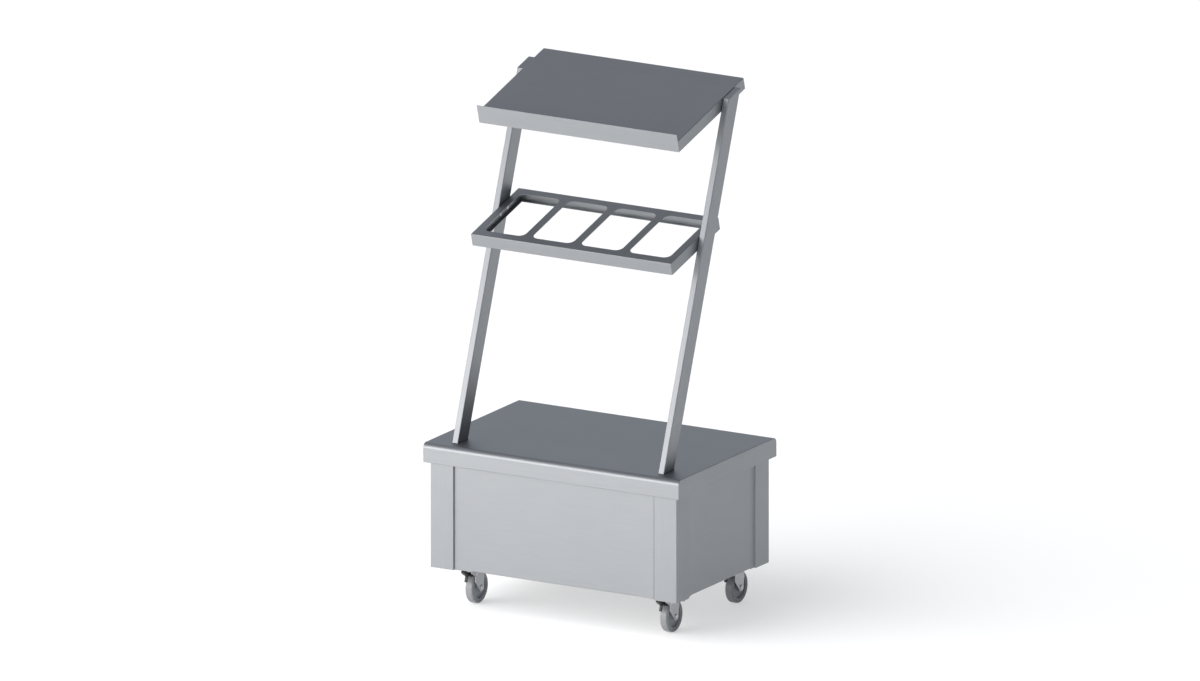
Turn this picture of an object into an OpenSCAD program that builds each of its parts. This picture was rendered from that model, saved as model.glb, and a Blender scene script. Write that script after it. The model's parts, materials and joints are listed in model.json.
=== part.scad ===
// Mobile serving counter: a low sheet-metal cabinet on four braked swivel castors, with two leaning posts
// that carry a shelf with container cut-outs and a sloping tray shelf above it.
// The origin is on the floor under the middle of the cabinet. X runs to the right, Y to the operator's side,
// Z up. The customer stands on the -Y side.

/* [Cabinet] */
// Width over the corner uprights
cabinet_w = 860; // [760:10:1200]
// Depth over the corner uprights
cabinet_d = 560; // [500:10:700]
// Height of the uprights, from their lower ends to the worktop's skirt
cabinet_h = 330; // [260:10:460]
// Thickness of the cabinet's sheet metal
sheet_t = 1.5; // [1:0.25:2.5]
// Inside radius of the uprights' long bends
bend_inner_r = 1.5; // [1:0.5:4]
// Width of each face of a corner upright
upright_face = 80; // [70:5:110]
// How far the uprights stand proud of the panels
upright_step = 6; // [4:1:10]
// Width of the fold that each panel is fixed on
upright_tab = 20; // [12:1:30]
// Shadow gap between an upright and a panel's edge
panel_gap = 3; // [1:0.5:6]
// How far the panels stop above the uprights' lower ends
panel_lift = 2.5; // [0:0.5:10]
// Width of the fold along a panel's lower edge
panel_fold = 12; // [8:1:20]
// Gap between the panels' upper edges and the board
panel_top_gap = 5; // [2:1:10]
// Height of the deck's turned-down edges
deck_flange = 20; // [12:1:25]
// Height of the rear rail under the worktop
rear_rail_h = 40; // [25:5:60]
// Depth of the rear rail's two flanges
rear_rail_d = 30; // [20:5:45]

/* [Base rails] */
// Width of the channel that each pair of castors is bolted to
base_rail_w = 90; // [85:5:110]
// Height of the channel
base_rail_h = 30; // [25:1:45]
// Thickness of the channel
base_rail_t = 3; // [2:0.5:4]

/* [Worktop] */
// Thickness of the worktop, seen from the side
top_t = 60; // [40:5:80]
// How far the worktop stands out over the uprights, all round
top_overhang = 16.5; // [15:0.5:30]
// Outer radius of the rolled front and back edges
top_roll_r = 16; // [8:1:16]
// Thickness of the worktop's sheet metal
top_sheet_t = 1.5; // [1:0.25:2]
// Width of the fold along the skirt's lower edge
top_lip = 10; // [5:1:12]
// Thickness of the board under the sheet
board_t = 16; // [12:1:22]
// Gap between the board and the end skirts
board_gap = 0.5; // [0.25:0.25:2]

/* [Posts] */
// Clear width between the two posts
post_spacing = 700; // [600:10:760]
// Width of the post tube, seen from the front
post_w = 20; // [20:1:30]
// Depth of the post tube, seen from the side
post_d = 60; // [50:1:80]
// Wall of the post tube
post_wall = 1.5; // [1:0.25:2]
// Backward lean of the posts, in degrees
post_lean = 20; // [10:1:25]
// Distance from the worktop's front edge to the foot of a post
post_setback = 42.5; // [35:0.5:80]
// Thickness of the plate that closes a post's top
post_cap_t = 2; // [1:0.5:4]
// How far a post's top stays below the tray shelf's surface
post_top_drop = 2; // [0:0.5:10]
// Thickness of the threaded plate inside a post's foot
foot_plate_t = 10; // [8:1:16]
// Distance between the two bolts of a post
foot_bolt_pitch = 30; // [24:1:36]
// Width of the plate under the board that spreads a post's load
backing_w = 60; // [50:5:80]
// Length of the plate under the board
backing_d = 90; // [80:5:110]
// Thickness of the plate under the board
backing_t = 4; // [3:0.5:8]

/* [Shelves] */
// Slope of both shelves, in degrees
shelf_tilt = 15; // [5:1:20]
// Thickness of the shelves' sheet metal
shelf_t = 1.5; // [1:0.25:2.5]
// Gap between a shelf's side and a post
shelf_side_gap = 0.5; // [0.25:0.25:0.75]
// Width of the fold along the shelves' lower edges
shelf_fold = 13; // [8:1:16]
// Distance between the two screws on each side of a shelf
shelf_screw_pitch = 44; // [30:1:46]

/* [Container shelf] */
// Height of the container shelf's front edge above the worktop
pan_rise = 639.5; // [500:0.5:700]
// How far the container shelf reaches out in front of the posts
pan_reach = 155; // [120:1:180]
// Depth of the container shelf, along its slope
pan_depth = 300; // [290:1:320]
// Height of the turned-down edges
pan_flange = 40; // [35:1:50]
// Number of cut-outs
pan_count = 4; // [1:1:4]
// Width of a cut-out
pan_cut_w = 142; // [120:1:150]
// Length of a cut-out, along the slope
pan_cut_l = 240; // [200:1:250]
// Width of the bars between the cut-outs
pan_bar = 27; // [16:1:30]
// Width of the shelf in front of the cut-outs
pan_front_margin = 30; // [20:1:40]
// Corner radius of a cut-out
pan_corner_r = 22; // [10:1:40]
// Distance of the screws below the container shelf's surface
pan_screw_drop = 25; // [15:1:28]

/* [Tray shelf] */
// Height of the tray shelf's front edge above the worktop
tray_rise = 1013; // [900:1:1100]
// How far the tray shelf reaches out in front of the posts
tray_reach = 249; // [200:1:300]
// Depth of the tray shelf, along its slope
tray_depth = 414; // [380:1:440]
// Height of the front lip above the surface
tray_lip = 22; // [10:1:40]
// Height of the turned-down edges
tray_flange = 38; // [30:1:50]
// Distance of the screws below the tray shelf's surface
tray_screw_drop = 19; // [14:1:28]
// Width of the stiffener's crown under the tray shelf
stiffener_w = 60; // [40:5:90]
// Height of the stiffener
stiffener_h = 18; // [12:1:25]
// Width of the stiffener's two welded feet
stiffener_foot = 15; // [10:1:20]
// Gap between the stiffener's ends and the turned-down sides
stiffener_gap = 8; // [4:1:20]

/* [Castors] */
// Height of a castor, from the floor to the top of its plate
castor_h = 128; // [126:1:140]
// Distance from the cabinet's side to a castor's swivel axis
castor_inset_x = 90; // [85:1:130]
// Distance from the cabinet's front or back to a castor's swivel axis
castor_inset_y = 83; // [78:1:120]
// Distance from the swivel axis to the wheel's axle
castor_trail = 41; // [38:1:44]
// Diameter of the wheel
wheel_d = 100; // [96:1:100]
// Width of the wheel
wheel_w = 25; // [24:1:28]
// Width of the mounting plate
plate_w = 80; // [78:1:90]
// Length of the mounting plate
plate_l = 105; // [100:1:120]
// Thickness of the mounting plate
plate_t = 3; // [2.5:0.5:4]
// Corner radius of the mounting plate
plate_r = 8; // [4:1:12]
// Bolt spacing across the mounting plate
plate_pitch_x = 60; // [56:1:64]
// Bolt spacing along the mounting plate
plate_pitch_y = 80; // [76:1:90]
// Thickness of the fork's pressed steel
fork_t = 2.5; // [2:0.5:3]
// Clear width inside the fork
fork_gap = 30; // [30:0.5:36]

/* [Brake pedals] */
// Width of the pedal's arms
pedal_arm_w = 7; // [5:1:12]
// Width of the pedal's foot pad and brake shoe
pedal_pad_w = 10; // [8:1:24]
// Thickness of the arm between the pivot and the fork of the pedal
pedal_arm_t = 8; // [6:0.5:8]

/* [Hidden] */
$fn = 48;
// One overrun serves all cuts, so that no cut ends on a face.
overrun = 1;
// Running clearance between a shaft and its bore, on the radius.
running_gap = 0.05;
// Clearance of a screw or bolt in its hole, on the radius.
bolt_gap = 0.25;

// Heights
base_z = castor_h;
skirt_z = base_z + cabinet_h;
top_z = skirt_z + top_t;
board_z = top_z - top_sheet_t - board_t;
deck_z = base_z + base_rail_h;

// Plan sizes
half_w = cabinet_w / 2;
half_d = cabinet_d / 2;
top_w = cabinet_w + 2 * top_overhang;
top_d = cabinet_d + 2 * top_overhang;
panel_in = upright_step + sheet_t;
inner_in = panel_in + sheet_t;

// Posts: the front face of a post meets the worktop here.
post_front_y = post_setback - top_d / 2;
post_slice = post_d / cos(post_lean);
post_mid_y = post_front_y + post_slice / 2;

// Shelf fronts
pan_front_z = top_z + pan_rise;
pan_front_y = post_front_y + pan_rise * tan(post_lean) - pan_reach;
tray_front_z = top_z + tray_rise;
tray_front_y = post_front_y + tray_rise * tan(post_lean) - tray_reach;
shelf_w = post_spacing - 2 * shelf_side_gap;

// Screws and rivet nuts of the shelves
screw_r = 3;
screw_head_r = 5.5;
screw_head_h = 3;
screw_len = 13;
nut_body_r = 4.5;
nut_flange_r = 7;
nut_bulge_r = 6;
nut_bulge_l = 4;
nut_len = 13;

// Hexagon bolts and nuts
bolt_r = 4;
bolt_flats = 13;
bolt_head_h = 5.5;
bolt_nut_h = 6.5;
washer_r = 8;
washer_t = 1.6;

// Brackets between the cabinet and the board
bracket_leg = 30;
bracket_l = 40;
bracket_t = 2;
bracket_front_x = 180;
bracket_screw_r = 2.5;
bracket_screw_len = 14;
bracket_screw_head_r = 5;
bracket_screw_head_h = 2.5;
bracket_screw_pitch = 24;

// Earth terminal below the front right upright
earth_l = 30;
earth_w = 20;
earth_h = 24;
earth_t = 1.5;
earth_drop = 3;
earth_back = 60;
earth_bolt_r = 3;
earth_flats = 10;
earth_head_h = 4;
earth_nut_h = 5;

// Castor: swivel bearing
race_r = 28;
race_inner_r = 15;
race_h = 4;
lower_race_h = 2;
ball_r = 3;
ball_ring_r = 21.5;
ball_count = 10;
ball_gap = 0.3;
upper_groove_gap = 0.1;
king_r = 6;
king_head_r = 9;
king_head_h = 1.5;
king_nut_h = 6;
king_end_gap = 0.3;
race_gap = 4;

// Castor: fork, measured from the swivel axis along the trail
fork_top_z = castor_h - plate_t - race_h - race_gap - lower_race_h;
fork_head_r = 29;
fork_nose = 20;
fork_shoulder_z = 106;
fork_front = 5;
fork_neck_z = 91;
fork_waist_z = 72;
fork_back = 58;
fork_back_z = 82;
fork_boss_r = 13;
axle_z = wheel_d / 2;
axle_r = 4;
axle_flats = 13;
axle_head_h = 4;
axle_tail = 1;
bush_r = 6;

// Castor: wheel
hub_r = 13;
hub_side_gap = 0.4;
web_t = 8;
rim_in_r = 36;
rim_out_r = 41;
rim_lip_in = 0.5;
tyre_shoulder_r = 4;
tyre_crown = 1;
hub_cap_r = 10;

// Castor: brake pedal, measured from the swivel axis and the floor
pivot_y = 11;
pivot_drop = 29.5;
pivot_pin_r = 2.5;
pivot_head_r = 4.5;
pivot_head_t = 1.5;
pivot_hub_r = 5;
pivot_hub_gap = 0.5;
knee_y = -19;
knee_drop = 30;
toe_y = -40;
toe_drop = 14;
heel_y = -24;
heel_drop = 47;
shoe_y = 4.5;
shoe_drop = 35;
shoe_d = 7.6;
toe_d = 9;
heel_d = 7;
pad_d = 10;
pivot_z = castor_h - pivot_drop;
knee_z = castor_h - knee_drop;
toe_z = castor_h - toe_drop;
heel_z = castor_h - heel_drop;
shoe_z = castor_h - shoe_drop;

// Castor places: front left, front right, rear left, rear right
castor_x = half_w - castor_inset_x;
castor_y = half_d - castor_inset_y;

// Height of the tray shelf's surface plane at a depth y.
function tray_plane_z(y) = tray_front_z + (y - tray_front_y) * tan(shelf_tilt);

// Distance along a shelf's slope at which a line w above its surface crosses the posts' middle.
function post_along(front_y, front_z, w) =
    (post_mid_y - front_y + w * sin(shelf_tilt) + tan(post_lean) * (front_z + w * cos(shelf_tilt) - top_z))
    / (cos(shelf_tilt) - tan(post_lean) * sin(shelf_tilt));

// Middles of the cut-outs along X.
function pan_x(i) = (i - (pan_count - 1) / 2) * (pan_cut_w + pan_bar);

// A box from one corner to the opposite one.
module span(low, high) {
    translate(low)
        cube(high - low);
}

// Turns a drawing in the Y-Z plane into a bar along X, from x0 to x1.
module along_x(x0, x1) {
    translate([x0, 0, 0])
        rotate([90, 0, 90])
            linear_extrude(x1 - x0)
                children();
}

// A hexagon prism along Z, given its size over the flats.
module hexagon(flats, h) {
    cylinder(h = h, d = flats / cos(30), $fn = 6);
}

// A bar with round ends between two points of a drawing.
module link(a, b, d) {
    reach = norm(b - a);
    translate(a)
        rotate(atan2(b[1] - a[1], b[0] - a[0]))
            translate([0, -d / 2])
                square([reach, d]);
    translate(a)
        circle(d = d);
    translate(b)
        circle(d = d);
}

// A rectangle round the origin with round corners.
module round_rect(w, l, r) {
    translate([-w / 2 + r, -l / 2])
        square([w - 2 * r, l]);
    translate([-w / 2, -l / 2 + r])
        square([w, l - 2 * r]);
    for (sx = [-1, 1], sy = [-1, 1])
        translate([sx * (w / 2 - r), sy * (l / 2 - r)])
            circle(r);
}

// Worktop

// Side view of the worktop: a bar with both upper edges rolled.
module rolled_section(w, h, r) {
    translate([-w / 2, 0])
        square([w, h - r]);
    translate([-w / 2 + r, 0])
        square([w - 2 * r, h]);
    for (s = [-1, 1])
        translate([s * (w / 2 - r), h - r])
            circle(r);
}

module countertop() {
    color([0.72, 0.74, 0.76])
        difference() {
            union() {
                translate([0, 0, skirt_z])
                    along_x(-top_w / 2, top_w / 2)
                        difference() {
                            rolled_section(top_d, top_t, top_roll_r);
                            translate([0, -overrun])
                                rolled_section(top_d - 2 * top_sheet_t, top_t - top_sheet_t + overrun,
                                    top_roll_r - top_sheet_t);
                        }
                for (s = [-1, 1])
                    translate([s * (top_w - top_sheet_t) / 2, 0, skirt_z])
                        along_x(-top_sheet_t / 2, top_sheet_t / 2)
                            rolled_section(top_d, top_t, top_roll_r);
                difference() {
                    span([-top_w / 2, -top_d / 2, skirt_z], [top_w / 2, top_d / 2, skirt_z + top_sheet_t]);
                    span([-top_w / 2 + top_sheet_t + top_lip, -top_d / 2 + top_sheet_t + top_lip,
                        skirt_z - overrun],
                        [top_w / 2 - top_sheet_t - top_lip, top_d / 2 - top_sheet_t - top_lip,
                        skirt_z + top_sheet_t + overrun]);
                }
            }
            foot_bolt_holes();
        }
}

module underlay_board() {
    board_half_w = top_w / 2 - top_sheet_t - board_gap;
    board_half_d = top_d / 2 - top_roll_r;
    color([0.62, 0.48, 0.34])
        difference() {
            span([-board_half_w, -board_half_d, board_z], [board_half_w, board_half_d, board_z + board_t]);
            foot_bolt_holes();
            at_bracket_screws()
                cylinder(h = bracket_screw_len, r = bracket_screw_r);
        }
}

// Cabinet

// Plan of a corner upright, with its outer corner at the origin.
module upright_plan() {
    bend_r = bend_inner_r + sheet_t;
    for (swap = [0, 1])
        mirror([swap, -swap]) {
            translate([bend_r, 0])
                square([upright_face - bend_r, sheet_t]);
            translate([upright_face - sheet_t, 0])
                square([sheet_t, inner_in]);
            translate([upright_face - sheet_t, panel_in])
                square([upright_tab + sheet_t, sheet_t]);
        }
    translate([bend_r, bend_r])
        intersection() {
            difference() {
                circle(bend_r);
                circle(bend_inner_r);
            }
            translate([-bend_r, -bend_r])
                square(bend_r);
        }
}

// An upright in the corner given by the signs of x and y.
module upright(sx, sy) {
    color([0.78, 0.8, 0.82])
        mirror([sx > 0 ? 1 : 0, 0, 0])
            mirror([0, sy > 0 ? 1 : 0, 0])
                translate([-half_w, -half_d, base_z])
                    linear_extrude(board_z - base_z)
                        upright_plan();
}

// A panel between two uprights, seen from outside, with its outer face on the X-Z plane.
module panel(w, fold_w) {
    low_z = base_z + panel_lift;
    span([-w / 2, 0, low_z], [w / 2, sheet_t, board_z - panel_top_gap]);
    span([-fold_w / 2, 0, low_z], [fold_w / 2, panel_fold, low_z + sheet_t]);
}

module front_panel() {
    color([0.76, 0.78, 0.8])
        translate([0, -half_d + upright_step, 0])
            panel(cabinet_w - 2 * (upright_face + panel_gap), 2 * castor_x - base_rail_w - 2 * panel_gap);
}

module side_panel(sx) {
    color([0.74, 0.76, 0.78])
        translate([sx * (half_w - upright_step), 0, 0])
            rotate([0, 0, sx * 90])
                panel(cabinet_d - 2 * (upright_face + panel_gap),
                    cabinet_d - 2 * (upright_face + upright_tab + panel_gap));
}

module rear_rail() {
    rail_half_w = half_w - upright_face + upright_tab;
    back_y = half_d - inner_in;
    low_z = board_z - rear_rail_h;
    color([0.74, 0.76, 0.78])
        difference() {
            span([-rail_half_w, back_y - rear_rail_d, low_z], [rail_half_w, back_y, board_z]);
            span([-rail_half_w - overrun, back_y - rear_rail_d - overrun, low_z + sheet_t],
                [rail_half_w + overrun, back_y - sheet_t, board_z - sheet_t]);
        }
}

module bottom_deck() {
    deck_half_w = half_w - inner_in;
    deck_half_d = half_d - inner_in;
    low_z = deck_z + sheet_t - deck_flange;
    color([0.74, 0.76, 0.78])
        difference() {
            span([-deck_half_w, -deck_half_d, low_z], [deck_half_w, deck_half_d, deck_z + sheet_t]);
            span([-deck_half_w + sheet_t, -deck_half_d + sheet_t, low_z - overrun],
                [deck_half_w - sheet_t, deck_half_d - sheet_t, deck_z]);
        }
}

module base_rail(sx) {
    rail_half_l = half_d - inner_in - sheet_t;
    x0 = -base_rail_w / 2;
    x1 = base_rail_w / 2;
    color([0.6, 0.62, 0.64])
        translate([sx * castor_x, 0, 0])
            difference() {
                span([x0, -rail_half_l, base_z], [x1, rail_half_l, deck_z]);
                span([x0 + base_rail_t, -rail_half_l - overrun, base_z + base_rail_t],
                    [x1 - base_rail_t, rail_half_l + overrun, deck_z + overrun]);
                for (sy = [-1, 1])
                    translate([0, sy * castor_y, base_z - overrun])
                        at_plate_bolts()
                            cylinder(h = base_rail_t + 2 * overrun, r = bolt_r + bolt_gap);
            }
}

// Brackets: an angle in each place, with its upright leg against the panel or rail on its +Y side.
module at_brackets() {
    panel_y = half_d - panel_in;
    rail_y = half_d - inner_in - rear_rail_d;
    for (sx = [-1, 1]) {
        translate([sx * bracket_front_x, -panel_y, 0])
            rotate([0, 0, 180])
                children();
        translate([sx * bracket_front_x, rail_y, 0])
            children();
        translate([sx * (half_w - panel_in), 0, 0])
            rotate([0, 0, -sx * 90])
                children();
    }
}

module at_bracket_screws() {
    at_brackets()
        for (s = [-1, 1])
            translate([s * bracket_screw_pitch / 2, -bracket_leg / 2, board_z])
                children();
}

module top_brackets() {
    color([0.66, 0.68, 0.7])
        at_brackets()
            difference() {
                span([-bracket_l / 2, -bracket_leg, board_z - bracket_leg], [bracket_l / 2, 0, board_z]);
                span([-bracket_l / 2 - overrun, -bracket_leg - overrun, board_z - bracket_leg - overrun],
                    [bracket_l / 2 + overrun, -bracket_t, board_z - bracket_t]);
                for (s = [-1, 1])
                    translate([s * bracket_screw_pitch / 2, -bracket_leg / 2, board_z - bracket_t - overrun])
                        cylinder(h = bracket_t + 2 * overrun, r = bracket_screw_r);
            }
}

module top_screws() {
    color([0.5, 0.5, 0.52])
        at_bracket_screws() {
            translate([0, 0, -bracket_t])
                cylinder(h = bracket_t + bracket_screw_len, r = bracket_screw_r);
            translate([0, 0, -bracket_t - bracket_screw_head_h])
                cylinder(h = bracket_screw_head_h, r1 = bracket_screw_r, r2 = bracket_screw_head_r, $fn = 32);
        }
}

// Posts

// A solid bar along a post, drawn in by an inset, between two heights above the worktop at the post's front.
module post_bar(sx, inset) {
    reach = top_z + tray_rise;
    translate([sx * (post_spacing + post_w) / 2, post_front_y, top_z])
        rotate([-post_lean, 0, 0])
            span([-post_w / 2 + inset, inset, -reach], [post_w / 2 - inset, post_d - inset, reach]);
}

// Everything above the worktop and below a plane parallel to the tray shelf, at a distance below it.
module under_tray(drop) {
    y0 = tray_front_y - tray_depth;
    y1 = tray_front_y + 2 * tray_depth;
    fall = drop / cos(shelf_tilt);
    along_x(-top_w, top_w)
        polygon([[y0, top_z], [y1, top_z], [y1, tray_plane_z(y1) - fall], [y0, tray_plane_z(y0) - fall]]);
}

module post(sx) {
    color([0.76, 0.78, 0.8])
        difference() {
            intersection() {
                post_bar(sx, 0);
                under_tray(post_top_drop + post_cap_t);
            }
            post_bar(sx, post_wall);
            at_shelf_screws(sx)
                cylinder(h = post_wall + shelf_side_gap + overrun, r = nut_body_r);
        }
}

module post_caps() {
    color([0.76, 0.78, 0.8])
        for (sx = [-1, 1])
            difference() {
                intersection() {
                    post_bar(sx, 0);
                    under_tray(post_top_drop);
                }
                under_tray(post_top_drop + post_cap_t);
            }
}

// Places of the vertical bolts in the posts' feet.
module at_foot_bolts() {
    foot_mid_y = post_mid_y + foot_plate_t / 2 * tan(post_lean);
    for (sx = [-1, 1], s = [-1, 1])
        translate([sx * (post_spacing + post_w) / 2, foot_mid_y + s * foot_bolt_pitch / 2, 0])
            children();
}

module foot_bolt_holes() {
    at_foot_bolts()
        translate([0, 0, board_z - overrun])
            cylinder(h = top_z - board_z + 2 * overrun, r = bolt_r + bolt_gap);
}

module post_foot_plates() {
    color([0.6, 0.62, 0.64])
        difference() {
            intersection() {
                for (sx = [-1, 1])
                    post_bar(sx, post_wall);
                span([-top_w, -top_d, top_z], [top_w, top_d, top_z + foot_plate_t]);
            }
            at_foot_bolts()
                translate([0, 0, top_z - overrun])
                    cylinder(h = foot_plate_t + 2 * overrun, r = bolt_r);
        }
}

module post_backing_plates() {
    color([0.6, 0.62, 0.64])
        difference() {
            for (sx = [-1, 1])
                translate([sx * (post_spacing + post_w) / 2, post_mid_y, 0])
                    span([-backing_w / 2, -backing_d / 2, board_z - backing_t],
                        [backing_w / 2, backing_d / 2, board_z]);
            at_foot_bolts()
                translate([0, 0, board_z - backing_t - overrun])
                    cylinder(h = backing_t + 2 * overrun, r = bolt_r + bolt_gap);
        }
}

module post_bolts() {
    head_z = board_z - backing_t - washer_t;
    color([0.55, 0.56, 0.58])
        at_foot_bolts() {
            translate([0, 0, head_z - bolt_head_h])
                hexagon(bolt_flats, bolt_head_h);
            translate([0, 0, head_z])
                cylinder(h = washer_t, r = washer_r);
            translate([0, 0, head_z])
                cylinder(h = top_z + foot_plate_t - head_z, r = bolt_r);
        }
}

// Shelves

// Moves a piece from a shelf's own frame, X across, Y up the slope, Z square to it, into place.
module on_slope(front_y, front_z) {
    translate([0, front_y, front_z])
        rotate([shelf_tilt, 0, 0])
            children();
}

// Places of one shelf's screws on the side sx, with Z pointing into the post from the shelf's outer side.
module at_screws(sx, front_y, front_z, drop) {
    mid = post_along(front_y, front_z, -drop);
    on_slope(front_y, front_z)
        for (s = [-1, 1])
            translate([sx * shelf_w / 2, mid + s * shelf_screw_pitch / 2, -drop])
                rotate([0, sx * 90, 0])
                    children();
}

module at_shelf_screws(sx) {
    at_screws(sx, pan_front_y, pan_front_z, pan_screw_drop)
        children();
    at_screws(sx, tray_front_y, tray_front_z, tray_screw_drop)
        children();
}

module shelf_screw_holes() {
    for (sx = [-1, 1])
        at_shelf_screws(sx)
            translate([0, 0, -shelf_t - overrun])
                cylinder(h = shelf_t + 2 * overrun, r = screw_r + bolt_gap);
}

// A shelf's sheet: a flat top with all four edges turned down and their lower edges turned in.
module shelf_pressing(depth, flange) {
    x1 = shelf_w / 2;
    difference() {
        span([-x1, 0, -flange], [x1, depth, 0]);
        span([-x1 + shelf_t, shelf_t, -flange + shelf_t], [x1 - shelf_t, depth - shelf_t, -shelf_t]);
        span([-x1 + shelf_fold, shelf_fold, -flange - overrun], [x1 - shelf_fold, depth - shelf_fold, -shelf_t]);
    }
}

module pan_shelf() {
    color([0.72, 0.74, 0.76])
        difference() {
            on_slope(pan_front_y, pan_front_z)
                difference() {
                    shelf_pressing(pan_depth, pan_flange);
                    for (i = [0 : pan_count - 1])
                        translate([pan_x(i), pan_front_margin + pan_cut_l / 2, -shelf_t - overrun])
                            linear_extrude(shelf_t + 2 * overrun)
                                round_rect(pan_cut_w, pan_cut_l, pan_corner_r);
                }
            shelf_screw_holes();
        }
}

module tray_shelf() {
    color([0.72, 0.74, 0.76])
        difference() {
            on_slope(tray_front_y, tray_front_z) {
                shelf_pressing(tray_depth, tray_flange);
                span([-shelf_w / 2, 0, -shelf_t], [shelf_w / 2, shelf_t, tray_lip]);
            }
            shelf_screw_holes();
        }
}

// A hat section across the underside of the tray shelf.
module tray_stiffener() {
    x1 = shelf_w / 2 - shelf_t - stiffener_gap;
    y1 = stiffener_w / 2;
    color([0.7, 0.72, 0.74])
        on_slope(tray_front_y, tray_front_z)
            translate([0, tray_depth / 2, -shelf_t]) {
                difference() {
                    span([-x1, -y1, -stiffener_h], [x1, y1, 0]);
                    span([-x1 - overrun, -y1 + shelf_t, -stiffener_h + shelf_t],
                        [x1 + overrun, y1 - shelf_t, overrun]);
                }
                for (s = [-1, 1])
                    translate([0, s * (y1 - shelf_t / 2 + stiffener_foot / 2), -shelf_t / 2])
                        cube([2 * x1, stiffener_foot + shelf_t, shelf_t], center = true);
            }
}

module shelf_screws() {
    color([0.85, 0.86, 0.88])
        for (sx = [-1, 1])
            at_shelf_screws(sx) {
                translate([0, 0, -shelf_t - screw_head_h])
                    cylinder(h = screw_head_h, r = screw_head_r);
                translate([0, 0, -shelf_t - screw_head_h / 2])
                    cylinder(h = screw_len, r = screw_r);
            }
}

module rivet_nuts() {
    color([0.7, 0.7, 0.66])
        for (sx = [-1, 1])
            at_shelf_screws(sx)
                difference() {
                    union() {
                        cylinder(h = shelf_side_gap, r = nut_flange_r);
                        cylinder(h = nut_len, r = nut_body_r);
                        translate([0, 0, shelf_side_gap + post_wall])
                            cylinder(h = nut_bulge_l, r = nut_bulge_r);
                    }
                    translate([0, 0, -overrun])
                        cylinder(h = nut_len + 2 * overrun, r = screw_r);
                }
}

// Earth terminal
module earth_bracket() {
    x1 = half_w - sheet_t;
    y0 = -half_d + earth_back - earth_l / 2;
    z0 = base_z - earth_drop;
    color([0.6, 0.62, 0.64])
        difference() {
            union() {
                span([x1 - earth_w, y0, z0], [x1, y0 + earth_l, z0 + earth_t]);
                span([x1 - earth_t, y0, z0], [x1, y0 + earth_l, z0 + earth_h]);
            }
            translate([x1 - earth_w / 2, y0 + earth_l / 2, z0 - overrun])
                cylinder(h = earth_t + 2 * overrun, r = earth_bolt_r);
        }
}

module earth_bolt() {
    z0 = base_z - earth_drop;
    color([0.2, 0.2, 0.21])
        translate([half_w - sheet_t - earth_w / 2, -half_d + earth_back, z0]) {
            translate([0, 0, -earth_head_h])
                hexagon(earth_flats, earth_head_h);
            translate([0, 0, -earth_head_h])
                cylinder(h = earth_head_h + earth_t + 2 * earth_nut_h, r = earth_bolt_r);
            translate([0, 0, earth_t])
                hexagon(earth_flats, earth_nut_h);
        }
}

// Castors

// Moves a castor piece from its own frame, on the floor under its swivel axis, to its corner.
module at_castor(sx, sy) {
    translate([sx * castor_x, sy * castor_y, 0])
        children();
}

// Places of the four bolts of one mounting plate.
module at_plate_bolts() {
    for (sx = [-1, 1], sy = [-1, 1])
        translate([sx * plate_pitch_x / 2, sy * plate_pitch_y / 2, 0])
            children();
}

// Ring section of a ball race between two heights, with a groove for the balls.
module race(z0, z1, groove) {
    rotate_extrude()
        difference() {
            translate([race_inner_r, z0])
                square([race_r - race_inner_r, z1 - z0]);
            translate([ball_ring_r, ball_z()])
                circle(ball_r + groove);
        }
}

function ball_z() = castor_h - plate_t - race_h - race_gap / 2;

module castor_plate(sx, sy) {
    plate_z = castor_h - plate_t;
    color([0.62, 0.64, 0.66])
        at_castor(sx, sy) {
            difference() {
                translate([0, 0, plate_z])
                    linear_extrude(plate_t)
                        round_rect(plate_w, plate_l, plate_r);
                translate([0, 0, plate_z - overrun])
                    at_plate_bolts()
                        cylinder(h = plate_t + 2 * overrun, r = bolt_r + bolt_gap);
                translate([0, 0, plate_z - overrun])
                    cylinder(h = plate_t + 2 * overrun, r = king_r);
                translate([0, 0, castor_h - king_head_h])
                    cylinder(h = king_head_h + overrun, r = king_head_r);
            }
            race(plate_z - race_h, plate_z, upper_groove_gap);
        }
}

module castor_bolts() {
    color([0.55, 0.56, 0.58])
        for (sx = [-1, 1], sy = [-1, 1])
            at_castor(sx, sy)
                at_plate_bolts() {
                    translate([0, 0, castor_h - plate_t - bolt_head_h])
                        hexagon(bolt_flats, bolt_head_h);
                    translate([0, 0, castor_h - plate_t])
                        cylinder(h = plate_t + base_rail_t + bolt_nut_h + bolt_r, r = bolt_r);
                    translate([0, 0, castor_h + base_rail_t])
                        hexagon(bolt_flats, bolt_nut_h);
                }
}

module kingpins() {
    nut_top = fork_top_z - fork_t - king_end_gap;
    color([0.6, 0.62, 0.64])
        for (sx = [-1, 1], sy = [-1, 1])
            at_castor(sx, sy) {
                translate([0, 0, nut_top])
                    cylinder(h = castor_h - nut_top, r = king_r);
                translate([0, 0, castor_h - king_head_h])
                    cylinder(h = king_head_h, r = king_head_r);
                translate([0, 0, nut_top - king_nut_h])
                    cylinder(h = king_nut_h, r = king_head_r);
            }
}

module swivel_balls() {
    color([0.8, 0.8, 0.82])
        for (sx = [-1, 1], sy = [-1, 1], i = [0 : ball_count - 1])
            at_castor(sx, sy)
                rotate([0, 0, i * 360 / ball_count])
                    translate([ball_ring_r, 0, ball_z()])
                        sphere(ball_r, $fn = 24);
}

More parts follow.
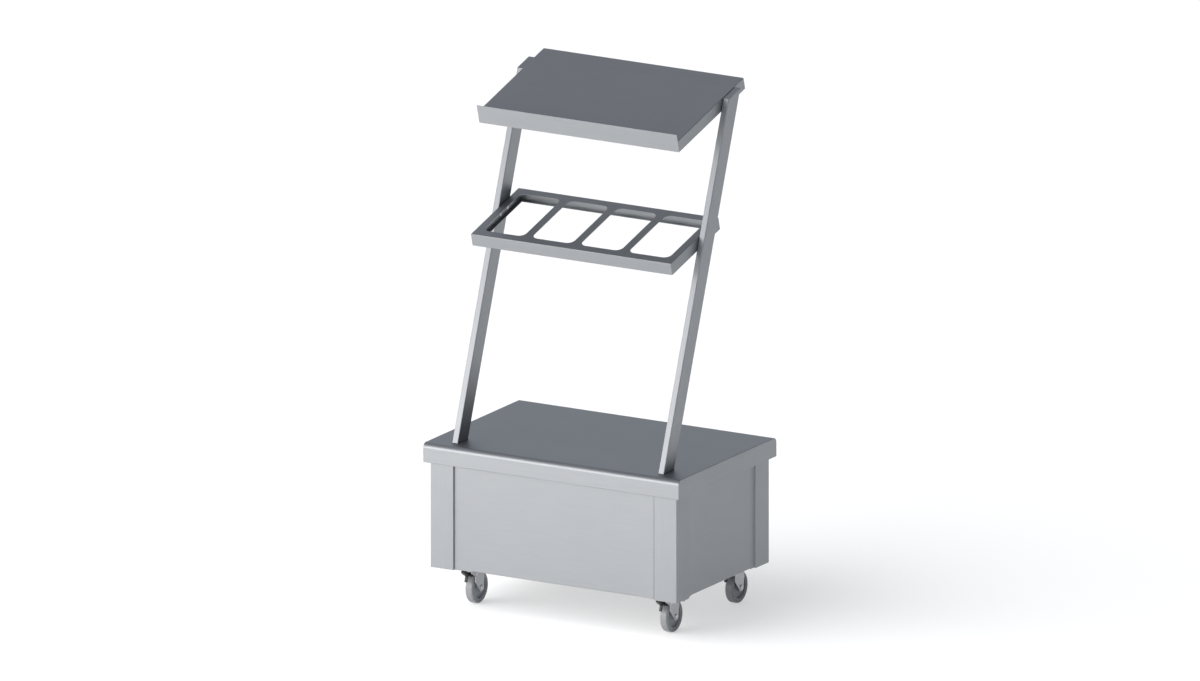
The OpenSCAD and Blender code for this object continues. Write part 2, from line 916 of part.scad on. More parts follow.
// Side view of one fork leg: a shoulder at the front, a slanting front edge and a boss round the axle.
module fork_leg_side() {
    wheel_mid = [castor_trail, axle_z];
    difference() {
        union() {
            polygon([[-fork_nose, fork_top_z], [-fork_nose, fork_shoulder_z], [fork_front, fork_neck_z],
                [fork_front, fork_waist_z],
                wheel_mid + fork_boss_r * [-sin(40), -cos(40)],
                wheel_mid + fork_boss_r * [cos(5), sin(5)],
                [fork_back, fork_back_z], [fork_back, fork_top_z]]);
            translate(wheel_mid)
                circle(fork_boss_r);
        }
        translate(wheel_mid)
            circle(axle_r);
        translate([pivot_y, pivot_z])
            circle(pivot_pin_r);
    }
}

module castor_fork(sx, sy) {
    outer = fork_gap / 2 + fork_t;
    color([0.66, 0.68, 0.7])
        at_castor(sx, sy) {
            for (s = [-1, 1])
                translate([s * (outer - fork_t / 2), 0, 0])
                    along_x(-fork_t / 2, fork_t / 2)
                        fork_leg_side();
            difference() {
                union() {
                    translate([0, 0, fork_top_z - fork_t])
                        cylinder(h = fork_t, r = fork_head_r);
                    span([-outer, -fork_nose, fork_top_z - fork_t], [outer, fork_back, fork_top_z]);
                    race(fork_top_z, fork_top_z + lower_race_h, ball_gap);
                }
                translate([0, 0, fork_top_z - fork_t - overrun])
                    cylinder(h = fork_t + 2 * overrun, r = king_r + running_gap);
            }
        }
}

// The axle bolt with its nut, and the pedal's pivot pin.
module castor_pins(sx, sy) {
    outer = fork_gap / 2 + fork_t;
    color([0.7, 0.72, 0.74])
        at_castor(sx, sy) {
            translate([-outer, castor_trail, axle_z])
                rotate([0, 90, 0])
                    cylinder(h = 2 * outer + axle_head_h + axle_tail, r = axle_r);
            for (x0 = [-outer - axle_head_h, outer])
                translate([x0, castor_trail, axle_z])
                    rotate([0, 90, 0])
                        hexagon(axle_flats, axle_head_h);
            translate([-outer, pivot_y, pivot_z])
                rotate([0, 90, 0])
                    cylinder(h = 2 * outer, r = pivot_pin_r);
            for (x0 = [-outer - pivot_head_t, outer])
                translate([x0, pivot_y, pivot_z])
                    rotate([0, 90, 0])
                        cylinder(h = pivot_head_t, r = pivot_head_r);
        }
}

module castor_bush(sx, sy) {
    half_l = fork_gap / 2;
    color([0.75, 0.68, 0.45])
        at_castor(sx, sy)
            translate([-half_l, castor_trail, axle_z])
                rotate([0, 90, 0])
                    difference() {
                        cylinder(h = 2 * half_l, r = bush_r);
                        translate([0, 0, -overrun])
                            cylinder(h = 2 * (half_l + overrun), r = axle_r);
                    }
}

// A ring-shaped section turned round the wheel's axle.
module about_axle() {
    translate([0, castor_trail, axle_z])
        rotate([0, 90, 0])
            rotate_extrude()
                children();
}

module castor_core(sx, sy) {
    hub_half = fork_gap / 2 - hub_side_gap;
    rim_half = wheel_w / 2 - rim_lip_in;
    color([0.5, 0.52, 0.54])
        at_castor(sx, sy)
            about_axle() {
                translate([bush_r + running_gap, -hub_half])
                    square([hub_cap_r - bush_r - running_gap, 2 * hub_half]);
                translate([bush_r + running_gap, -rim_half])
                    square([hub_r - bush_r - running_gap, 2 * rim_half]);
                translate([bush_r + running_gap, -web_t / 2])
                    square([rim_out_r - bush_r - running_gap, web_t]);
                translate([rim_in_r, -rim_half])
                    square([rim_out_r - rim_in_r, 2 * rim_half]);
            }
}

module castor_tyre(sx, sy) {
    half = wheel_w / 2;
    r = wheel_d / 2;
    color([0.6, 0.61, 0.62])
        at_castor(sx, sy)
            about_axle() {
                translate([rim_out_r, -half])
                    square([r - tyre_crown - tyre_shoulder_r - rim_out_r, wheel_w]);
                translate([rim_out_r, -half + tyre_shoulder_r])
                    square([r - tyre_crown - rim_out_r, wheel_w - 2 * tyre_shoulder_r]);
                for (s = [-1, 1])
                    translate([r - tyre_crown - tyre_shoulder_r, s * (half - tyre_shoulder_r)])
                        circle(tyre_shoulder_r);
                polygon([[r - tyre_crown, -half + tyre_shoulder_r], [r, -tyre_shoulder_r],
                    [r, tyre_shoulder_r], [r - tyre_crown, half - tyre_shoulder_r]]);
            }
}

module castor_pedal(sx, sy) {
    pivot = [pivot_y, pivot_z];
    knee = [knee_y, knee_z];
    hub_half = fork_gap / 2 - pivot_hub_gap;
    color([0.09, 0.09, 0.1])
        at_castor(sx, sy)
            difference() {
                union() {
                    along_x(-pedal_arm_w / 2, pedal_arm_w / 2) {
                        link(pivot, knee, pedal_arm_t);
                        link(knee, [toe_y, toe_z], toe_d);
                        link(knee, [heel_y, heel_z], heel_d);
                    }
                    along_x(-pedal_pad_w / 2, pedal_pad_w / 2) {
                        link([(toe_y + knee_y) / 2, (toe_z + knee_z) / 2], [toe_y, toe_z], pad_d);
                        link(pivot, [shoe_y, shoe_z], shoe_d);
                    }
                    along_x(-hub_half, hub_half)
                        translate(pivot)
                            circle(pivot_hub_r);
                }
                along_x(-hub_half - overrun, hub_half + overrun)
                    translate(pivot)
                        circle(pivot_pin_r + running_gap);
            }
}

countertop();
underlay_board();
upright(-1, -1);  // upright_front_left
upright(1, -1);  // upright_front_right
upright(-1, 1);  // upright_rear_left
upright(1, 1);  // upright_rear_right
front_panel();
side_panel(-1);  // side_panel_left
side_panel(1);  // side_panel_right
rear_rail();
bottom_deck();
base_rail(-1);  // base_rail_left
base_rail(1);  // base_rail_right
post(-1);  // post_left
post(1);  // post_right
post_caps();
post_foot_plates();
post_backing_plates();
post_bolts();
pan_shelf();
tray_shelf();
tray_stiffener();
shelf_screws();
rivet_nuts();
top_brackets();
top_screws();
castor_bolts();
kingpins();
swivel_balls();
earth_bracket();
earth_bolt();
castor_plate(-1, -1);  // castor_fl_plate
castor_fork(-1, -1);  // castor_fl_fork
castor_pins(-1, -1);  // castor_fl_pins
castor_bush(-1, -1);  // castor_fl_bush
castor_core(-1, -1);  // castor_fl_core
castor_tyre(-1, -1);  // castor_fl_tyre
castor_pedal(-1, -1);  // castor_fl_pedal
castor_plate(1, -1);  // castor_fr_plate
castor_fork(1, -1);  // castor_fr_fork
castor_pins(1, -1);  // castor_fr_pins
castor_bush(1, -1);  // castor_fr_bush
castor_core(1, -1);  // castor_fr_core
castor_tyre(1, -1);  // castor_fr_tyre
castor_pedal(1, -1);  // castor_fr_pedal
castor_plate(-1, 1);  // castor_rl_plate
castor_fork(-1, 1);  // castor_rl_fork
castor_pins(-1, 1);  // castor_rl_pins
castor_bush(-1, 1);  // castor_rl_bush
castor_core(-1, 1);  // castor_rl_core
castor_tyre(-1, 1);  // castor_rl_tyre
castor_pedal(-1, 1);  // castor_rl_pedal
castor_plate(1, 1);  // castor_rr_plate
castor_fork(1, 1);  // castor_rr_fork
castor_pins(1, 1);  // castor_rr_pins
castor_bush(1, 1);  // castor_rr_bush
castor_core(1, 1);  // castor_rr_core
castor_tyre(1, 1);  // castor_rr_tyre
castor_pedal(1, 1);  // castor_rr_pedal
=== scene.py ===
import json
import math
from contextlib import contextmanager

import bmesh
import bpy
from mathutils import Matrix, Vector

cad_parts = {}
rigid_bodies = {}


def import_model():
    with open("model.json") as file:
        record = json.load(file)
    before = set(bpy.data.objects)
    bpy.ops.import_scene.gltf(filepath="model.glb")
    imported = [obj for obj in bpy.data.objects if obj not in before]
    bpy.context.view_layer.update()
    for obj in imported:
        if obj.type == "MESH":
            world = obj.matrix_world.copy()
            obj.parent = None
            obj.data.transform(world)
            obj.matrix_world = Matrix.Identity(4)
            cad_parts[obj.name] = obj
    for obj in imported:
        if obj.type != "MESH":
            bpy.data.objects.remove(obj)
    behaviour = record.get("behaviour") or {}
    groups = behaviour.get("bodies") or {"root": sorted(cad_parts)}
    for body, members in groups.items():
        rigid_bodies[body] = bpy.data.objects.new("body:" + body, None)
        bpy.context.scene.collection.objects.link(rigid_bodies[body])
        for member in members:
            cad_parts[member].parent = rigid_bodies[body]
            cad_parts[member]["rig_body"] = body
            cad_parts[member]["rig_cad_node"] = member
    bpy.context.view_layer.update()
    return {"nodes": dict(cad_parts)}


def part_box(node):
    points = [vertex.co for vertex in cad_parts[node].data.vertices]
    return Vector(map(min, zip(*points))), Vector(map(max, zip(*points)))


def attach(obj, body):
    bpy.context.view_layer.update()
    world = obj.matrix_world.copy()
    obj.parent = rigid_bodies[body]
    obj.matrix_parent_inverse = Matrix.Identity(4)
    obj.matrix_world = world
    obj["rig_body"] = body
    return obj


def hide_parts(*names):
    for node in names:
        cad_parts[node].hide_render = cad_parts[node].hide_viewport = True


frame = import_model()


# Camera
# A parallel view from 30 degrees to the right of the counter's front and 15 degrees above the floor, as
# wide as the photograph's frame at the counter's own scale.
mm = 0.001
view_turn = math.radians(30)
view_rise = math.radians(15)
view_width = 3631 * mm
view_middle = Vector((0.5 * mm, 0.3 * mm, 829.7 * mm))
camera_distance = 12
towards_camera = Vector((
    math.sin(view_turn) * math.cos(view_rise),
    -math.cos(view_turn) * math.cos(view_rise),
    math.sin(view_rise),
))
camera_data = bpy.data.cameras.new("camera")
camera_data.type = "ORTHO"
camera_data.ortho_scale = view_width
camera_data.clip_end = 5 * camera_distance
camera = bpy.data.objects.new("camera", camera_data)
camera.location = view_middle + camera_distance * towards_camera
camera.rotation_euler = towards_camera.to_track_quat("Z", "Y").to_euler()
bpy.context.scene.collection.objects.link(camera)
bpy.context.scene.camera = camera
bpy.context.scene.view_settings.view_transform = "Standard"


# Room
# A pale floor, a wide soft lamp low on the left of the front, and soft high light that the steel doesn't
# mirror. The studio is grey, darker overhead, with a dark screen behind the counter on the right.
X, Y, Z = Vector((1, 0, 0)), Vector((0, 1, 0)), Vector((0, 0, 1))


class Value:
    """A socket of a node tree. Arithmetic on it adds Math nodes, so that shader maths reads as formulas."""

    def __init__(self, nodes, socket):
        self.nodes = nodes
        self.socket = socket

    def _math(self, operation, first, second):
        return self.nodes.node("ShaderNodeMath", {"operation": operation}, {0: first, 1: second})

    def __add__(self, other):
        return self._math("ADD", self, other)

    def __radd__(self, other):
        return self._math("ADD", other, self)

    def __sub__(self, other):
        return self._math("SUBTRACT", self, other)

    def __rsub__(self, other):
        return self._math("SUBTRACT", other, self)

    def __mul__(self, other):
        return self._math("MULTIPLY", self, other)

    def __rmul__(self, other):
        return self._math("MULTIPLY", other, self)

    def __gt__(self, other):
        return self._math("GREATER_THAN", self, other)

    def __abs__(self):
        return self._math("ABSOLUTE", self, 0.0)


class Nodes:
    """A tree of shader nodes, written as formulas."""

    def __init__(self, tree):
        self.tree = tree

    def node(self, kind, settings, sockets, output=0):
        """Adds a node, sets it up, then sets or links its sockets, and returns one of its outputs."""
        added = self.tree.nodes.new(kind)
        for setting, value in settings.items():
            setattr(added, setting, value)
        for socket, value in sockets.items():
            if isinstance(value, Value):
                self.tree.links.new(value.socket, added.inputs[socket])
            else:
                added.inputs[socket].default_value = value
        return Value(self, added.outputs[output])

    def mix(self, share, first, second):
        """A colour between two colours."""
        return self.node("ShaderNodeMix", {"data_type": "RGBA"}, {0: share, 6: first, 7: second}, 2)

    def along(self, place, direction):
        """How far a place or a direction lies along a direction."""
        settings = {"operation": "DOT_PRODUCT"}
        return self.node("ShaderNodeVectorMath", settings, {0: place, 1: direction}, "Value")

    def link(self, value, node, socket):
        """Links a value to a socket of a node that is there already."""
        self.tree.links.new(value.socket, self.tree.nodes[node].inputs[socket])


class Finish(Nodes):
    """A surface finish: one Principled shader, its fixed values, and the nodes that vary it."""

    def __init__(self, name, **fixed):
        self.material = bpy.data.materials.new(name)
        self.material.use_nodes = True
        super().__init__(self.material.node_tree)
        self.shader = self.tree.nodes["Principled BSDF"]
        for socket, value in fixed.items():
            self.shader.inputs[socket].default_value = value

    def place(self):
        """The place of a point in the object's own coordinates, in metres."""
        return self.node("ShaderNodeTexCoord", {}, {}, "Object")

    def noise(self, place, density, turn=(0, 0, 0), detail=2.0, seed=0.0):
        """Cloudy values between 0 and 1, with so many features to a metre along each axis."""
        turned_place = self.node("ShaderNodeMapping", {}, {"Vector": place, "Rotation": turn})
        cells = self.node("ShaderNodeVectorMath", {"operation": "MULTIPLY"}, {0: turned_place, 1: density})
        sockets = {"Vector": cells, "W": seed, "Scale": 1.0, "Detail": detail}
        return self.node("ShaderNodeTexNoise", {"noise_dimensions": "4D"}, sockets, "Fac")

    def speckle(self, place, density, **settings):
        """Cloudy values with as many features to a metre along every axis."""
        return self.noise(place, (density, density, density), **settings)

    def feed(self, **varying):
        """Links varying values to the shader's own sockets."""
        for socket, value in varying.items():
            self.link(value, self.shader.name, socket.replace("_", " "))

    def bump(self, height, depth):
        """Raises the surface by a varying height of at most a depth in metres."""
        sockets = {"Strength": 1.0, "Distance": depth, "Height": height}
        self.feed(Normal=self.node("ShaderNodeBump", {}, sockets))


def soft_lamp(name, kind, side, strength, **settings):
    """A soft lamp that shines on the counter from one side."""
    lamp_data = bpy.data.lights.new(name, kind)
    lamp_data.energy = strength
    for setting, value in settings.items():
        setattr(lamp_data, setting, value)
    lamp = bpy.data.objects.new(name, lamp_data)
    lamp.location = view_middle + lamp_distance * side.normalized()
    lamp.rotation_euler = side.to_track_quat("Z", "Y").to_euler()
    bpy.context.scene.collection.objects.link(lamp)
    return lamp


lamp_distance = 5.0
front_side = Vector((-0.52, -0.85, 0.11))
high_side = Vector((-0.60, -0.70, 0.85))
warm_white = (1.0, 0.965, 0.93)
front_size = {"shape": "RECTANGLE", "size": 9.0, "size_y": 2.6}
soft_lamp("front_lamp", "AREA", front_side, strength=262, color=warm_white, **front_size)
high_lamp = soft_lamp("high_lamp", "SUN", high_side, strength=3.3, angle=math.radians(60))
high_lamp.visible_glossy = False

wall_grey = (0.57, 0.605, 0.665, 1)
ceiling_grey = (0.40, 0.415, 0.44, 1)
screen_grey = (0.10, 0.107, 0.118, 1)
screen_side = (0.7, 0.714, 0)
world = bpy.data.worlds.new("studio")
bpy.context.scene.world = world
world.use_nodes = True
studio = Nodes(world.node_tree)
looking = studio.node("ShaderNodeTexCoord", {}, {}, "Generated")
studio_colour = wall_grey
for side, starts, full, colour in ((Z, 0.35, 0.95, ceiling_grey), (screen_side, 0.3, 0.75, screen_grey)):
    reach = {"Value": studio.along(looking, side), "From Min": starts, "From Max": full}
    share = studio.node("ShaderNodeMapRange", {"interpolation_type": "SMOOTHSTEP"}, reach)
    studio_colour = studio.mix(share, studio_colour, colour)
studio.link(studio_colour, "Background", "Color")

floor_width = 40
bpy.ops.object.select_all(action="DESELECT")
bpy.ops.mesh.primitive_plane_add(size=floor_width, location=(0, 0, 0))
floor = bpy.context.object
floor.name = "floor"
pale_floor = Finish("pale_floor", Roughness=0.9)
floor_clouds = pale_floor.speckle(pale_floor.place(), 0.7)
pale_floor.feed(Base_Color=pale_floor.mix(floor_clouds, (0.93, 0.93, 0.93, 1), (0.96, 0.96, 0.96, 1)))
camera_ray = pale_floor.node("ShaderNodeLightPath", {}, {}, "Is Camera Ray")
glossy_ray = pale_floor.node("ShaderNodeLightPath", {}, {}, "Is Glossy Ray")
lit = Value(pale_floor, pale_floor.shader.outputs["BSDF"])
white = pale_floor.node("ShaderNodeEmission", {}, {"Color": (1, 1, 1, 1), "Strength": 1.0})
paled = pale_floor.node("ShaderNodeMixShader", {}, {0: 0.5 * (camera_ray + glossy_ray), 1: lit, 2: white})
pale_floor.link(paled, "Material Output", "Surface")
floor.data.materials.append(pale_floor.material)


# Worktop
# One sheet of brushed stainless steel, 1.5 mm thick, rolled over at the front and the back and folded
# down at the ends. A narrow lip closes it under its skirt, and the board inside it is glued to it.
def tint(colour, level):
    """A colour scaled by a level."""
    return (colour[0] * level, colour[1] * level, colour[2] * level, 1)


def brushed_steel(name, colour, grain_run, end_run=None, roughness=0.46, turn=(0, 0, 0), seed=0.0):
    """Brushed stainless steel. Its grain has one run, and may have another on faces that point along X."""
    finish = Finish(name, Metallic=1.0)
    place = finish.place()
    grain = finish.noise(place, grain_run, turn, detail=3.0, seed=seed)
    if end_run:
        end_grain = finish.noise(place, end_run, turn, detail=3.0, seed=seed + 5)
        normal = finish.node("ShaderNodeNewGeometry", {}, {}, "True Normal")
        is_end = abs(finish.along(normal, X)) > 0.7
        grain = is_end * end_grain + (1 - is_end) * grain
    clouds = finish.speckle(place, 3.1, detail=2.0, seed=seed + 11)
    marks = finish.speckle(place, 14, detail=4.0, seed=seed + 17)
    finish.feed(
        Base_Color=finish.mix(0.7 * grain + 0.3 * clouds, tint(colour, 0.86), tint(colour, 1.14)),
        Roughness=roughness - 0.06 + 0.1 * grain + 0.06 * marks,
    )
    finish.bump(grain, 0.02 * mm)
    return finish.material


def named(piece, name):
    """A piece, once it and its mesh have a name."""
    piece.name = name
    piece.data.name = name
    return piece


def take(piece):
    """Makes one piece the only one selected, and the active one."""
    bpy.ops.object.select_all(action="DESELECT")
    piece.select_set(True)
    bpy.context.view_layer.objects.active = piece


@contextmanager
def shaping(piece):
    """Edit mode on one piece."""
    take(piece)
    bpy.ops.object.mode_set(mode="EDIT")
    yield
    bpy.ops.object.mode_set(mode="OBJECT")


def start_box(name, low, high):
    """A closed box between two corners, the start of a piece."""
    bpy.ops.object.select_all(action="DESELECT")
    bpy.ops.mesh.primitive_cube_add(size=1, location=(low + high) / 2)
    piece = named(bpy.context.object, name)
    piece.scale = high - low
    bpy.ops.object.transform_apply(location=True, rotation=True, scale=True)
    return piece


def middle(edge):
    """The middle of an edge."""
    return (edge.verts[0].co + edge.verts[1].co) / 2


def pick(piece, kind, wanted):
    """In edit mode, selects the faces or edges that a test accepts, and nothing else."""
    bpy.ops.mesh.select_mode(type=kind)
    bpy.ops.mesh.select_all(action="DESELECT")
    shape = bmesh.from_edit_mesh(piece.data)
    shape.normal_update()
    for part in {"FACE": shape.faces, "EDGE": shape.edges}[kind]:
        if wanted(part):
            part.select_set(True)
    shape.select_flush_mode()
    bmesh.update_edit_mesh(piece.data)


def runs(edge, direction):
    """Whether an edge is parallel to a direction."""
    return abs((edge.verts[1].co - edge.verts[0].co).normalized().dot(direction)) > 0.99


def is_bend(edge):
    """Whether two faces meet at an edge at more than 35 degrees."""
    return len(edge.link_faces) == 2 and edge.calc_face_angle(0) > math.radians(35)


def round_edges(radius, segments=4):
    """In edit mode, rounds the selected edges."""
    bpy.ops.mesh.bevel(offset=radius, segments=segments, affect="EDGES")


def round_bends(piece, radius, segments=4):
    """In edit mode, rounds every bend of a folded sheet."""
    pick(piece, "EDGE", is_bend)
    round_edges(radius, segments)


def open_below(piece, lip):
    """In edit mode, opens a box's underside but for a lip along its edges."""
    pick(piece, "FACE", lambda face: face.normal.z < -0.9)
    bpy.ops.mesh.inset(thickness=lip)
    bpy.ops.mesh.delete(type="FACE")


def apply_last(piece):
    """Applies the piece's last modifier."""
    take(piece)
    bpy.ops.object.modifier_apply(modifier=piece.modifiers[-1].name)


def give_wall(piece, thickness):
    """Gives an open sheet its thickness, inwards from its outer faces."""
    wall = piece.modifiers.new("wall", "SOLIDIFY")
    wall.thickness = thickness
    wall.offset = -1
    wall.use_even_offset = True
    apply_last(piece)


def dress(piece, material, body, slot, *stands_for):
    """Smooths a piece, gives it its finish, fixes it to its body, and hides the nodes it stands for."""
    take(piece)
    bpy.ops.object.shade_smooth_by_angle(angle=math.radians(32))
    flat_faces = piece.modifiers.new("flat_faces", "WEIGHTED_NORMAL")
    flat_faces.keep_sharp = True
    flat_faces.weight = 100
    apply_last(piece)
    piece.data.materials.clear()
    piece.data.materials.append(material)
    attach(piece, body)
    if stands_for:
        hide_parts(*stands_for)


worktop_low, worktop_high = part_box("countertop")
sheet = 1.5 * mm
worktop_roll = 16 * mm
worktop_lip = 11.5 * mm
worktop_bend = 1.2 * mm
satin = (0.320, 0.332, 0.347)
sideways = (7, 420, 420)
front_to_back = (420, 7, 420)
worktop_steel = brushed_steel("worktop_steel", satin, sideways, front_to_back, seed=1)
worktop = start_box("worktop", worktop_low, worktop_high)
with shaping(worktop):
    pick(worktop, "EDGE", lambda edge: runs(edge, X) and middle(edge).z > worktop_high.z - mm)
    round_edges(worktop_roll, 10)
    open_below(worktop, worktop_lip)
    round_bends(worktop, worktop_bend, 3)
give_wall(worktop, sheet)
dress(worktop, worktop_steel, "counter", "worktop_steel", "countertop")


# Corner uprights
# Angles folded from stainless sheet, 80 mm to each face. A short return behind each face steps in to a
# tab that the panels are fixed on, so that a shadow gap shows beside each panel.
def start_sheet(name, low, high, outwards):
    """A flat rectangle whose outer side faces a direction, the start of a folded piece."""
    bpy.ops.object.select_all(action="DESELECT")
    turn = outwards.to_track_quat("Z", "Y")
    bpy.ops.mesh.primitive_plane_add(size=1, location=(low + high) / 2, rotation=turn.to_euler())
    piece = named(bpy.context.object, name)
    reach = turn.inverted() @ (high - low)
    piece.scale = (abs(reach.x), abs(reach.y), 1)
    bpy.ops.object.transform_apply(location=True, rotation=True, scale=True)
    return piece


def fold(piece, towards, *moves, wanted=lambda edge: True):
    """In edit mode, draws flanges out of the open edges that lie furthest along a direction."""
    shape = bmesh.from_edit_mesh(piece.data)
    furthest = max(corner.co.dot(towards) for corner in shape.verts) - 0.01 * mm
    pick(piece, "EDGE", lambda edge: (
        edge.is_boundary and middle(edge).dot(towards) > furthest and wanted(edge)
    ))
    for move in moves:
        bpy.ops.mesh.extrude_edges_move(TRANSFORM_OT_translate={"value": move})


def soften(piece, width, segments=2, sharp=40):
    """Takes the sharpness off a piece's edges."""
    edge = piece.modifiers.new("edge", "BEVEL")
    edge.width = width
    edge.segments = segments
    edge.limit_method = "ANGLE"
    edge.angle_limit = math.radians(sharp)
    edge.harden_normals = False
    apply_last(piece)


def mirrored(piece, name, signs):
    """A copy of a piece on another side of the counter, with a mesh of its own and fresh normals."""
    take(piece)
    bpy.ops.object.duplicate()
    copy = named(bpy.context.object, name)
    bpy.ops.mesh.customdata_custom_splitnormals_clear()
    copy.parent = None
    copy.matrix_world = Matrix.Identity(4)
    copy.data.transform(Matrix.Diagonal((signs[0], signs[1], 1, 1)))
    if signs[0] * signs[1] < 0:
        copy.data.flip_normals()
    return copy


upright_low, upright_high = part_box("upright_front_left")
upright_face = 80 * mm
upright_tab = 20 * mm
upright_step = 7.5 * mm
sheet_bend = 2.6 * mm
cut_edge = 0.3 * mm
upwards = (420, 420, 7)
upright_steel = brushed_steel("upright_steel", satin, upwards, seed=2)
face_end = Vector((upright_low.x + upright_face, upright_low.y, upright_high.z))
upright = start_sheet("corner_front_left", upright_low, face_end, -Y)
with shaping(upright):
    fold(upright, X, upright_step * Y, upright_tab * X)
    fold(upright, -X, upright_face * Y, upright_step * X, upright_tab * Y)
    round_bends(upright, sheet_bend)
give_wall(upright, sheet)
soften(upright, cut_edge, 1)
corners = {"front_left": (1, 1), "front_right": (-1, 1), "rear_left": (1, -1), "rear_right": (-1, -1)}
for corner, signs in corners.items():
    piece = upright if corner == "front_left" else mirrored(upright, "corner_" + corner, signs)
    dress(piece, upright_steel, "counter", "cabinet_steel", "upright_" + corner)


# Panels
# Flat stainless sheets fixed on the uprights' tabs, with their lower edges folded in to stiffen them. The
# front one is closed, as are both sides; the operator's side is open.
def panel_piece(name, low, high, outwards, fold_half):
    """A panel whose lower edge is folded in, but for its ends."""
    side = Z.cross(outwards)
    piece = start_sheet(name, low, high, outwards)
    with shaping(piece):
        for end in (-fold_half, fold_half):
            bpy.ops.mesh.select_all(action="SELECT")
            bpy.ops.mesh.bisect(plane_co=end * side, plane_no=side)
        fold(piece, -Z, -panel_fold * outwards, wanted=lambda edge: abs(middle(edge).dot(side)) < fold_half)
        round_bends(piece, panel_bend)
    give_wall(piece, sheet)
    soften(piece, cut_edge, 1)
    return piece


front_low, front_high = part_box("front_panel")
side_low, side_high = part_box("side_panel_left")
panel_fold = 12 * mm
panel_bend = 2.2 * mm
front_fold_half = 292 * mm
side_fold_half = 174 * mm
panel_steel = brushed_steel("panel_steel", satin, sideways, front_to_back, seed=3)
front_face = Vector((front_high.x, front_low.y, front_high.z))
front = panel_piece("panel_front", front_low, front_face, -Y, front_fold_half)
dress(front, panel_steel, "counter", "cabinet_steel", "front_panel")
side_face = Vector((side_low.x, side_high.y, side_high.z))
left = panel_piece("panel_left", side_low, side_face, -X, side_fold_half)
dress(left, panel_steel, "counter", "cabinet_steel", "side_panel_left")
dress(mirrored(left, "panel_right", (-1, 1)), panel_steel, "counter", "cabinet_steel", "side_panel_right")


# Niche and base
# The deck is a shallow stainless tray turned upside down on two channels, which the castors are bolted
# to. A folded rail joins the rear uprights under the worktop.
deck_low, deck_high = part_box("bottom_deck")
deck_steel = brushed_steel("deck_steel", tint(satin, 1.3), sideways, front_to_back, roughness=0.5, seed=4)
deck = start_sheet("niche_deck", Vector((deck_low.x, deck_low.y, deck_high.z)), deck_high, Z)
with shaping(deck):
    pick(deck, "EDGE", lambda edge: edge.is_boundary)
    bpy.ops.mesh.extrude_edges_move(TRANSFORM_OT_translate={"value": (deck_low.z - deck_high.z) * Z})
    round_bends(deck, sheet_bend)
give_wall(deck, sheet)
soften(deck, cut_edge, 1)
dress(deck, deck_steel, "counter", "cabinet_steel", "bottom_deck")

rail_low, rail_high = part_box("rear_rail")
rail = start_sheet("niche_rail", Vector((rail_low.x, rail_low.y, rail_high.z)), rail_high, Z)
with shaping(rail):
    for side in (Y, -Y):
        fold(rail, side, (rail_low.z - rail_high.z) * Z)
    round_bends(rail, sheet_bend)
give_wall(rail, sheet)
soften(rail, cut_edge, 1)
dress(rail, deck_steel, "counter", "cabinet_steel", "rear_rail")

channel_low, channel_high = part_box("base_rail_left")
channel_wall = 3 * mm
channel_bend = 5 * mm
channel_edge = 0.4 * mm
dull_steel = (0.40, 0.405, 0.41)
channel_steel = brushed_steel("channel_steel", dull_steel, (60, 9, 60), roughness=0.5, seed=5)
channel_end = Vector((channel_high.x, channel_high.y, channel_low.z))
channel = start_sheet("base_channel_left", channel_low, channel_end, -Z)
with shaping(channel):
    for side in (X, -X):
        fold(channel, side, (channel_high.z - channel_low.z) * Z)
    round_bends(channel, channel_bend)
give_wall(channel, channel_wall)
soften(channel, channel_edge, 1)
dress(channel, channel_steel, "counter", "inner_steel", "base_rail_left")
channel_copy = mirrored(channel, "base_channel_right", (-1, 1))
dress(channel_copy, channel_steel, "counter", "inner_steel", "base_rail_right")


# Posts
# Flat tubes of brushed stainless steel, 20 by 60 mm, that lean back by 20 degrees. Their feet are bolted
# from below through the worktop, on a thin seal whose near-black colour is painted shade, and a welded
# plate closes each top.
def round_corners(piece, radius, segments=4):
    """Rounds a box's four edges that run along Z."""
    with shaping(piece):
        pick(piece, "EDGE", lambda edge: runs(edge, Z))
        round_edges(radius, segments)


def cut_away(piece, point, outwards):
    """Cuts off what lies beyond a plane and closes the cut."""
    with shaping(piece):
        bpy.ops.mesh.select_all(action="SELECT")
        bpy.ops.mesh.bisect(plane_co=point, plane_no=outwards, use_fill=True, clear_outer=True)


def post_bar(name, low, high):
    """A solid bar along the left post's own axes, with its long edges rounded as a drawn tube's are."""
    piece = start_box(name, low, high)
    round_corners(piece, tube_corner)
    piece.data.transform(Matrix.Translation(post_low) @ Matrix.Rotation(-lean, 4, "X"))
    return piece


def dark_seal():
    """A rubber seal coloured near-black, as painted shade where the posts meet the worktop."""
    finish = Finish("dark_seal", Roughness=0.7)
    grain = finish.speckle(finish.place(), 900)
    finish.feed(Base_Color=finish.mix(grain, (0.03, 0.031, 0.033, 1), (0.06, 0.061, 0.063, 1)))
    return finish.material


post_low, post_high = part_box("post_left")
lean = math.radians(20)
slope = math.radians(15)
slope_normal = Vector((0, -math.sin(slope), math.cos(slope)))
post_depth = 60 * mm
tube_corner = 2.5 * mm
soft_edge = 0.5 * mm
bar_below = 0.1
bar_length = 1.3
bar_end = Vector((post_high.x - post_low.x, post_depth, bar_length))
cap_start = 1.0
cap_wall = 2 * mm
cap_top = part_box("post_caps")[1]
weld_line = cap_top - cap_wall * slope_normal
post_steel = brushed_steel("post_steel", satin, upwards, turn=(lean, 0, 0), seed=6)
post = post_bar("upright_tube_left", -bar_below * Z, bar_end)
cut_away(post, post_low, -Z)
cut_away(post, weld_line, slope_normal)
cap = post_bar("tube_cap_left", cap_start * Z, bar_end)
cut_away(cap, weld_line, -slope_normal)
cut_away(cap, cap_top, slope_normal)
soften(cap, soft_edge)
dress(post, post_steel, "counter", "post_steel", "post_left")
dress(cap, post_steel, "counter", "post_steel", "post_caps")
